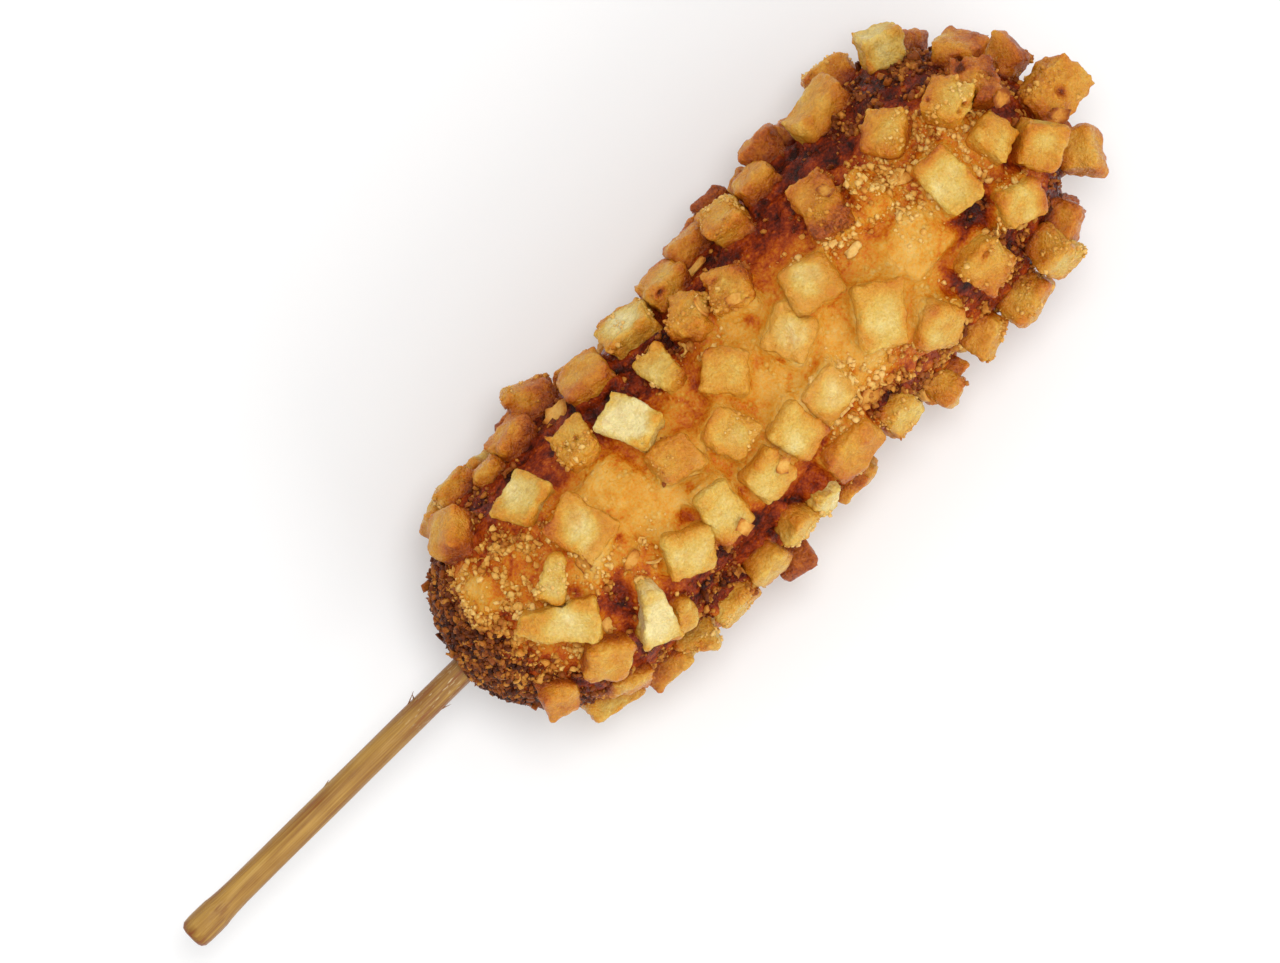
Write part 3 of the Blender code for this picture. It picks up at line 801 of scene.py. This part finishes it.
# %% Relief and browning of the batter
def boil(piece):
    points, normals = points_of(piece), normals_of(piece)
    brown = batter_brownness(points)
    rough = 0.25 + 0.75 * smoothstep(0.3, 0.7, brown)
    swell = 0.45 * cloud(points, 7.0 * MM) + 0.4 * rough * cloud(points, 2.6 * MM, 1.0)
    pits = np.clip(cloud(points, 3.2 * MM, 2.0) - 0.22, 0.0, 1.0) * rough * 1.6
    grit = cloud(points, 1.2 * MM, 3.0) * (0.08 + 0.2 * rough)
    points = points + normals * ((swell - pits + grit) * MM)[:, None]
    points[:, 2] = np.maximum(points[:, 2], 0.1 * MM)
    set_points(piece, points)
    # Hollows are coloured darker and raised places paler.
    proud = np.clip(standing_out(piece, 10) / MM, -0.8, 0.8)
    flecks = np.clip(cloud(points, 2.8 * MM, 6.0) - 0.25, 0.0, 1.0) * 0.45
    smears = np.clip(cloud(points, 4.5 * MM, 7.0) - 0.15, 0.0, 1.0) * -0.25
    veins = smoothstep(0.88, 1.0, 1.0 - np.abs(cloud(points, 6.5 * MM, 8.0))) * 0.12
    light = 1.0 - smoothstep(0.35, 0.6, brown)
    film = smoothstep(0.8, 3.5, places(points)[3]) * light * -0.02
    set_values(piece, "browning_and_painted_light", brown + flecks + smears + veins + film - 0.3 * proud
               * (0.4 + 0.6 * smoothstep(0.1, 0.5, brown)))
    piece.data.shade_smooth()
    piece.data.materials.clear()
    piece.data.materials.append(BATTER)


boil(batter)
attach(batter, "root")
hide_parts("batter")

# %% [markdown]
# ## Crumbs
#
# Beads of batter that came off in the oil stick back on as crumbs. One crumb is modelled
# from a small sphere, in a few uneven kinds of a few dozen faces. Then it is strewn: places are
# drawn on the skin by chance, more where it is crumbly, and all crumbs become one mesh.

# %% Kinds of crumb
def crumb_kinds(count):
    kinds = []
    for number in range(count):
        pick(batter)
        bpy.ops.mesh.primitive_ico_sphere_add(subdivisions=1, radius=0.5)
        crumb = bpy.context.object
        edit(crumb)
        bpy.ops.transform.vertex_random(offset=0.3, seed=number)
        leave_edit()
        corners = points_of(crumb)
        faces = np.array([face.vertices[:] for face in crumb.data.polygons])
        kinds.append((corners, faces))
        bpy.data.objects.remove(crumb)
    return kinds


CRUMB_KINDS = crumb_kinds(12)

# %% [markdown]
# Besides crumbs there are flakes: thin torn skins of batter and potato, curled by the heat. One
# is a small plate of a few faces, made uneven, thickened and bent over.

# %% Kinds of flake
def flake_kinds(count):
    kinds = []
    for number in range(count):
        rng = random.Random(number)
        pick(batter)
        bpy.ops.mesh.primitive_grid_add(x_subdivisions=4, y_subdivisions=3, size=1.0)
        flake = bpy.context.object
        edit(flake)
        bpy.ops.transform.resize(value=(1.0, rng.uniform(0.4, 0.8), 1.0))
        bpy.ops.transform.vertex_random(offset=0.13, seed=number)
        leave_edit()
        corners = points_of(flake)
        corners[:, 2] += rng.uniform(0.5, 1.6) * corners[:, 0] ** 2
        corners[:, 2] += rng.uniform(-0.8, 0.8) * corners[:, 1] ** 2
        set_points(flake, corners)
        apply_modifier(flake, "SOLIDIFY", thickness=0.16, offset=0.0)
        corners = points_of(flake)
        flake.data.calc_loop_triangles()
        faces = np.array([face.vertices[:] for face in flake.data.loop_triangles])
        kinds.append((corners, faces))
        bpy.data.objects.remove(flake)
    return kinds


FLAKE_KINDS = flake_kinds(8)

# %% Strewing crumbs
def strew(name, ground, density, kinds, sizes, tones, count, seed):
    """One mesh of crumbs on the ground, by a density at each of its points. A crumb is as brown
    as the ground is there, give or take a tone."""
    browning_and_painted_light = np.zeros(len(ground.data.vertices))
    ground.data.attributes["browning_and_painted_light"].data.foreach_get("value", browning_and_painted_light)
    rng = np.random.default_rng(seed)
    ground.data.calc_loop_triangles()
    triangles = np.zeros(len(ground.data.loop_triangles) * 3, int)
    ground.data.loop_triangles.foreach_get("vertices", triangles)
    triangles = triangles.reshape(-1, 3)
    points, normals = points_of(ground), normals_of(ground)
    a, b, c = (points[triangles[:, corner]] for corner in range(3))
    area = np.linalg.norm(np.cross(b - a, c - a), axis=1)
    weight = area * density[triangles].mean(axis=1)
    chosen = rng.choice(len(triangles), size=count, p=weight / weight.sum())
    shares = rng.dirichlet((1.0, 1.0, 1.0), size=count)
    corners, faces, values = [], [], []
    total = 0
    for triangle, share, tone in zip(chosen, shares, rng.uniform(*tones, count)):
        where = share @ points[triangles[triangle]]
        up = normals[triangles[triangle][0]]
        shape, sides = kinds[rng.integers(len(kinds))]
        size = (sizes[0] + (sizes[1] - sizes[0]) * rng.random() ** 2.2) * MM
        turn = np.array(Matrix.Rotation(rng.uniform(0.0, 6.28), 3, Vector(rng.normal(size=3))))
        stretched = shape * rng.uniform(0.6, 1.45, 3) * size
        corners.append(stretched @ turn.T + where + up * size * 0.1)
        faces.append(sides + total)
        values += [max(0.12, tone + browning_and_painted_light[triangles[triangle][0]])] * len(shape)
        total += len(shape)
    mesh = bpy.data.meshes.new(name)
    mesh.from_pydata(np.concatenate(corners), [], np.concatenate(faces))
    mesh.shade_smooth()
    piece = bpy.data.objects.new(name, mesh)
    bpy.context.scene.collection.objects.link(piece)
    moved = points_of(piece)
    moved[:, 2] = np.maximum(moved[:, 2], 0.1 * MM)
    set_points(piece, moved)
    set_values(piece, "browning_and_painted_light", np.array(values))
    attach(piece, "root")
    print(name, "faces:", len(mesh.polygons))
    return piece


# %% The finish of crumbs
CRUMB_COLOURS = ((0.0, (240, 205, 132)), (0.2, (226, 172, 84)), (0.4, (202, 134, 48)),
                 (0.6, (152, 79, 22)), (0.8, (101, 45, 14)), (1.0, (55, 21, 7)))


def crumb_finish():
    finish, shader = new_finish("crumbs of batter")
    brown = blend_in(finish, point_values(finish, "browning_and_painted_light"), grain(finish, 0.6), 0.3)
    join(finish, ramp(finish, brown, CRUMB_COLOURS), shader.inputs["Base Color"])
    roughen(finish, shader, grain(finish, 0.35), 0.2)
    shader.inputs["Roughness"].default_value = 0.4
    shader.inputs["Specular IOR Level"].default_value = 0.16
    shader.inputs["Subsurface Weight"].default_value = 0.2
    shader.inputs["Subsurface Scale"].default_value = 0.8 * MM
    shader.inputs["Subsurface Radius"].default_value = (1.0, 0.5, 0.2)
    return finish


CRUMB = crumb_finish()
skin_points = points_of(batter)
skin_station, skin_side, skin_around, _ = places(skin_points)
bare = 1.0 - 0.95 * np.minimum(1.0, 1.4 * patch_field(skin_points, MILKY_PATCHES))
stick_end = (1.0 - smoothstep(73.0, 82.0, skin_station)) * bare
clumps = smoothstep(-0.35, 0.35, cloud(skin_points, 3.2 * MM, 8.0))
patchy = patch_field(skin_points, CRUMB_PATCHES) * clumps * bare
underneath = smoothstep(70.0, 95.0, np.abs(skin_around))
wild = np.clip(cloud(skin_points, 8.0 * MM, 9.0), 0.0, 1.0) * underneath
dark_grains = strew("dark_grains", batter, stick_end, CRUMB_KINDS, (0.35, 1.35), (-0.34, 0.2),
                    6500, 1)
tan_crumbs = strew("tan_crumbs", batter, patchy + 0.25 * wild, CRUMB_KINDS, (0.25, 1.4),
                   (-0.36, 0.0), 9900, 2)
torn_flakes = strew("torn_flakes", batter, patchy + 0.3 * wild + 0.1 * stick_end, FLAKE_KINDS,
                    (0.9, 2.6), (-0.35, 0.0), 420, 3)
for crumbs in (dark_grains, tan_crumbs, torn_flakes):
    crumbs.data.materials.append(CRUMB)

# %% [markdown]
# The crusty dice caught some crumbs as well. They are joined into one ground for the moment, so
# that the same helper can strew on them, most where a soft pattern says that a skin of batter
# held.

# %% Crumbs on the crusty dice
CRUSTY = 0.3


def crumbs_on_dice():
    caught = []
    for piece, (_, crust) in zip(shown_dice, DICE_LOOKS):
        if crust >= CRUSTY:
            copy = bpy.data.objects.new("ground", piece.data.copy())
            bpy.context.scene.collection.objects.link(copy)
            caught.append(copy)
    ground = pick(*caught)
    bpy.ops.object.join()
    points = points_of(ground)
    outer = smoothstep(0.5, 3.0, places(points)[3])
    held = smoothstep(0.0, 0.5, cloud(points, 4.0 * MM, 12.0)) * outer
    piece = strew("crumbs_on_dice", ground, held, CRUMB_KINDS, (0.25, 1.0), (-0.42, -0.12), 1800, 4)
    piece.data.materials.append(CRUMB)
    bpy.data.objects.remove(ground)


crumbs_on_dice()

# %% [markdown]
# A few larger flakes are so plain to see that each is laid one by one. A ray that falls
# from above finds the height of the piece that it lies on.

# %% Flakes laid one by one
# Station, offset to +Y, length, breadth and turn of each flake, and how brown it is.
LAID_FLAKES = (
    (111.6, 20.2, 5.2, 3.0, 35, 0.10), (141.8, 16.0, 3.4, 3.0, 100, 0.14),
    (151.9, -15.8, 4.0, 2.4, 60, 0.16), (182.2, 7.2, 3.6, 2.4, 80, 0.18),
    (146.0, 21.2, 5.4, 1.8, 75, 0.14), (133.0, -13.6, 3.0, 2.0, -40, 0.12),
    (120.5, -16.6, 2.6, 2.0, 10, 0.14), (147.2, 12.4, 3.6, 2.2, 130, 0.20),
    (204.5, 5.0, 3.0, 2.4, 50, 0.30), (171.5, 14.5, 3.2, 2.4, 20, 0.28),
    (96.5, -1.5, 3.0, 2.0, 0, 0.18), (102.5, -7.0, 3.4, 2.2, 70, 0.20),
    (188.5, -11.0, 2.8, 2.0, -20, 0.30), (210.5, -4.0, 3.4, 2.6, 35, 0.30),
)


def ground_under(station, side):
    """The highest point of the batter and the dice at a place, and which way is up there."""
    above = Vector((BUTT_X + station * MM, AXIS_Y + side * MM, 0.1))
    hits = [piece.ray_cast(above, Vector((0.0, 0.0, -1.0))) for piece in [batter] + shown_dice]
    return max(((place, up) for found, place, up, _ in hits if found), key=lambda hit: hit[0].z)


def lay_flakes():
    bpy.context.view_layer.update()
    corners, faces, tones, total = [], [], [], 0
    for number, (station, side, length, breadth, turn, tone) in enumerate(LAID_FLAKES):
        place, up = ground_under(station, side)
        shape, sides = FLAKE_KINDS[number % len(FLAKE_KINDS)]
        frame_of_flake = up.to_track_quat("Z", "X").to_matrix() @ Matrix.Rotation(
            math.radians(turn), 3, "Z")
        scaled = shape * np.array((length, breadth * 1.6, length * 0.4)) * MM
        lifted = np.array(place + up * 0.3 * MM)
        corners.append(scaled @ np.array(frame_of_flake).T + lifted)
        faces.append(sides + total)
        edge = np.abs(shape[:, 0]) + np.abs(shape[:, 1])
        tones += list(tone + 0.1 + 0.35 * smoothstep(0.3, 0.8, edge))
        total += len(shape)
    mesh = bpy.data.meshes.new("laid_flakes")
    mesh.from_pydata(np.concatenate(corners), [], np.concatenate(faces))
    piece = bpy.data.objects.new("laid_flakes", mesh)
    bpy.context.scene.collection.objects.link(piece)
    set_values(piece, "browning_and_painted_light", np.array(tones))
    mesh.materials.append(CRUMB)
    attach(piece, "root")


lay_flakes()

# %% [markdown]
# ## The stick
#
# A bamboo stick shows the cane it was split from: a joint swells its butt, the sawn end is
# chamfered and rough, and fibres run all along it. It is drawn out like the batter, with its
# swelling in the steps, and the fibres come from noise that is stretched along the stick.

# %% Bamboo
STICK_STEPS = ((-0.0, 1.9), (0.25, 2.45), (0.9, 2.86), (2.2, 2.97), (4.6, 2.95), (6.2, 2.9),
               (7.2, 2.74), (9.0, 2.6), (11.5, 2.52), (18.0, 2.5), (30.0, 2.5), (45.0, 2.5),
               (60.0, 2.5), (75.0, 2.5), (100.0, 2.5), (150.0, 2.5), (160.0, 1.25))


def draw_stick():
    steps = []
    for (start, thick), (end, thin) in zip(STICK_STEPS, STICK_STEPS[1:]):
        parts = max(1, round((end - start) / 1.5))
        for part in range(parts):
            share = part / parts
            steps.append((start + (end - start) * share, thick + (thin - thick) * share))
    steps.append(STICK_STEPS[-1])
    return drawn_out("bamboo_stick", [(BUTT_X + at * MM, AXIS_Y, AXIS_Z, radius * MM)
                                      for at, radius in steps], 48)


def weather(stick):
    points, normals = points_of(stick), normals_of(stick)
    along = points * np.array((0.06, 1.0, 1.0))
    fibres = cloud(along, 0.7 * MM, 1.0) * 0.05 + cloud(along, 2.0 * MM, 2.0) * 0.06
    butt = 1.0 - smoothstep(0.0, 7.0, (points[:, 0] - BUTT_X) / MM)
    rough = cloud(points, 1.4 * MM, 3.0) * 0.14 * butt
    inward = np.minimum(fibres + rough - 0.03, 0.05)
    points = points + normals * (inward * MM)[:, None]
    points[:, 0] = np.maximum(points[:, 0], BUTT_X)
    set_points(stick, points)
    station, side, _, _ = places(points)
    sawn = 1.0 - smoothstep(0.2, 1.4, station + 0.5 * cloud(points, 1.0 * MM, 4.0))
    wet = smoothstep(48.0, 60.0, station + 3.0 * cloud(points, 4.0 * MM, 5.0))
    # flank: painted shade, the stick darker along both of its sides; the sawn end, the oily part and the groove
    # are real wear.
    flank = smoothstep(1.2, 2.4, np.abs(side))
    groove = 0.45 * np.exp(-((station - 7.6 + 0.15 * side) / 0.35) ** 2) * (side < 0.5)
    set_values(stick, "wear_and_painted_shade", 0.9 * sawn + 0.3 * wet + 0.2 * flank + groove)
    set_values(stick, "dusty", 0.8 * wet)


def add_slivers(stick):
    """Torn fibres that stand off the stick: station, angle from the top, length in mm, turn."""
    slivers = []
    for station, around, length, turn in SLIVERS:
        pick(batter)
        bpy.ops.mesh.primitive_cone_add(vertices=4, radius1=0.2 * MM, radius2=0.03 * MM,
                                        depth=length * MM)
        sliver = bpy.context.object
        outward = Vector((0.0, math.sin(math.radians(around)), math.cos(math.radians(around))))
        lean = Vector((math.cos(math.radians(turn)), 0.0, 0.0)) + outward * math.sin(
            math.radians(turn))
        root = Vector((BUTT_X + station * MM, AXIS_Y, AXIS_Z)) + outward * 2.35 * MM
        place = Matrix.Translation(root + lean * 0.4 * length * MM)
        sliver.data.transform(place @ lean.to_track_quat("Z", "Y").to_matrix().to_4x4())
        slivers.append(sliver)
    pick(*slivers, stick)
    bpy.ops.object.join()


SLIVERS = ((56.2, 78, 3.0, 24), (57.6, 70, 1.8, 62), (60.0, -84, 2.2, 20), (35.5, 84, 1.6, 16))

stick = draw_stick()
add_slivers(stick)
weather(stick)
stick.data.shade_smooth()

# %% The finish of bamboo
BAMBOO_COLOURS = ((0.0, (134, 70, 26)), (0.25, (142, 97, 38)), (0.5, (165, 122, 52)),
                  (0.75, (184, 142, 68)), (1.0, (200, 164, 90)))


def stretched_grain(finish, size, stretch, detail=2.0):
    """Noise drawn out along the stick, with strands of about a thickness in mm."""
    here = add_node(finish, "TexCoord").outputs["Object"]
    mapping = add_node(finish, "Mapping", Scale=(1.0 / stretch, 1.0, 1.0))
    join(finish, here, mapping.inputs["Vector"])
    texture = add_node(finish, "TexNoise", Scale=1.0 / (size * MM), Detail=detail)
    join(finish, mapping.outputs["Vector"], texture.inputs["Vector"])
    return texture.outputs["Fac"]


def bamboo_finish():
    finish, shader = new_finish("bamboo")
    tone = blend_in(finish, stretched_grain(finish, 1.3, 16.0),
                    stretched_grain(finish, 0.3, 50.0, 3.0), 0.9)
    tone = blend_in(finish, tone, grain(finish, 5.0), 0.3)
    tone = blend_in(finish, tone, point_values(finish, "wear_and_painted_shade"), -0.6, 0.0)
    shade = ramp(finish, tone, BAMBOO_COLOURS)
    specks = add_node(finish, "MapRange", clamp=True)
    specks.inputs["From Min"].default_value, specks.inputs["From Max"].default_value = 0.6, 0.75
    join(finish, stretched_grain(finish, 0.35, 5.0), specks.inputs["Value"])
    dusty = add_node(finish, "Math", operation="MULTIPLY")
    join(finish, specks.outputs["Result"], dusty.inputs[0])
    join(finish, point_values(finish, "dusty"), dusty.inputs[1])
    dusted = add_node(finish, "Mix", data_type="RGBA", clamp_factor=True)
    join(finish, dusty.outputs[0], dusted.inputs["Factor"])
    join(finish, shade, dusted.inputs[6])
    dusted.inputs[7].default_value = colour(214, 194, 150)
    join(finish, dusted.outputs[2], shader.inputs["Base Color"])
    roughen(finish, shader, stretched_grain(finish, 0.3, 60.0, 3.0), 0.2)
    shader.inputs["Roughness"].default_value = 0.34
    shader.inputs["Specular IOR Level"].default_value = 0.3
    return finish


stick.data.materials.append(bamboo_finish())
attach(stick, "root")
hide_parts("stick")

# %% [markdown]
# ## Table, light and camera
#
# The corn dog lies on a plain pale table and is seen from straight above, its stick towards the
# lower left. A broad soft light comes from the side of the picture's upper left, and a pale
# sky fills the shadows.

# %% Table, light and camera
def pale_table():
    bpy.ops.mesh.primitive_plane_add(size=6.0, location=(0.0, 0.0, 0.0))
    table = bpy.context.object
    table.name = "table_top"
    finish, shader = new_finish("pale table")
    shader.inputs["Base Color"].default_value = (0.9, 0.9, 0.9, 1.0)
    shader.inputs["Roughness"].default_value = 0.8
    table.data.materials.append(finish)


def soft_light(name, direction, distance, size, power):
    light = bpy.data.lights.new(name, "AREA")
    light.shape, light.size, light.energy = "DISK", size, power
    lamp = bpy.data.objects.new(name, light)
    bpy.context.scene.collection.objects.link(lamp)
    away = Vector(direction).normalized()
    lamp.location = away * distance + Vector((0.03, 0.0, AXIS_Z))
    lamp.rotation_mode = "QUATERNION"
    lamp.rotation_quaternion = away.to_track_quat("Z", "Y")


def sky(strength):
    world = bpy.data.worlds.new("pale sky")
    world.use_nodes = True
    background = world.node_tree.nodes["Background"]
    background.inputs["Color"].default_value = (1.0, 1.0, 1.0, 1.0)
    background.inputs["Strength"].default_value = strength
    bpy.context.scene.world = world


VIEW_STATION, VIEW_SIDE, VIEW_TURN = 113.2, 1.6, -44.64
VIEW_WIDTH, VIEW_DISTANCE = 226.6, 1200.0


def camera_above():
    lens = bpy.data.cameras.new("camera")
    lens.sensor_width = 36.0
    lens.lens = 36.0 * VIEW_DISTANCE / VIEW_WIDTH
    lens.clip_end = 20.0
    camera = bpy.data.objects.new("camera", lens)
    bpy.context.scene.collection.objects.link(camera)
    camera.location = (BUTT_X + VIEW_STATION * MM, AXIS_Y + VIEW_SIDE * MM,
                       AXIS_Z + VIEW_DISTANCE * MM)
    camera.rotation_euler = (0.0, 0.0, math.radians(VIEW_TURN))
    bpy.context.scene.camera = camera


pale_table()
soft_light("key_light", (0.1, 0.05, 1.0), 1.1, 0.38, 4.65)
soft_light("fill_light", (0.1, -0.9, 0.6), 1.1, 0.8, 3.5)
sky(0.76)
camera_above()
bpy.context.scene.view_settings.view_transform = "Standard"
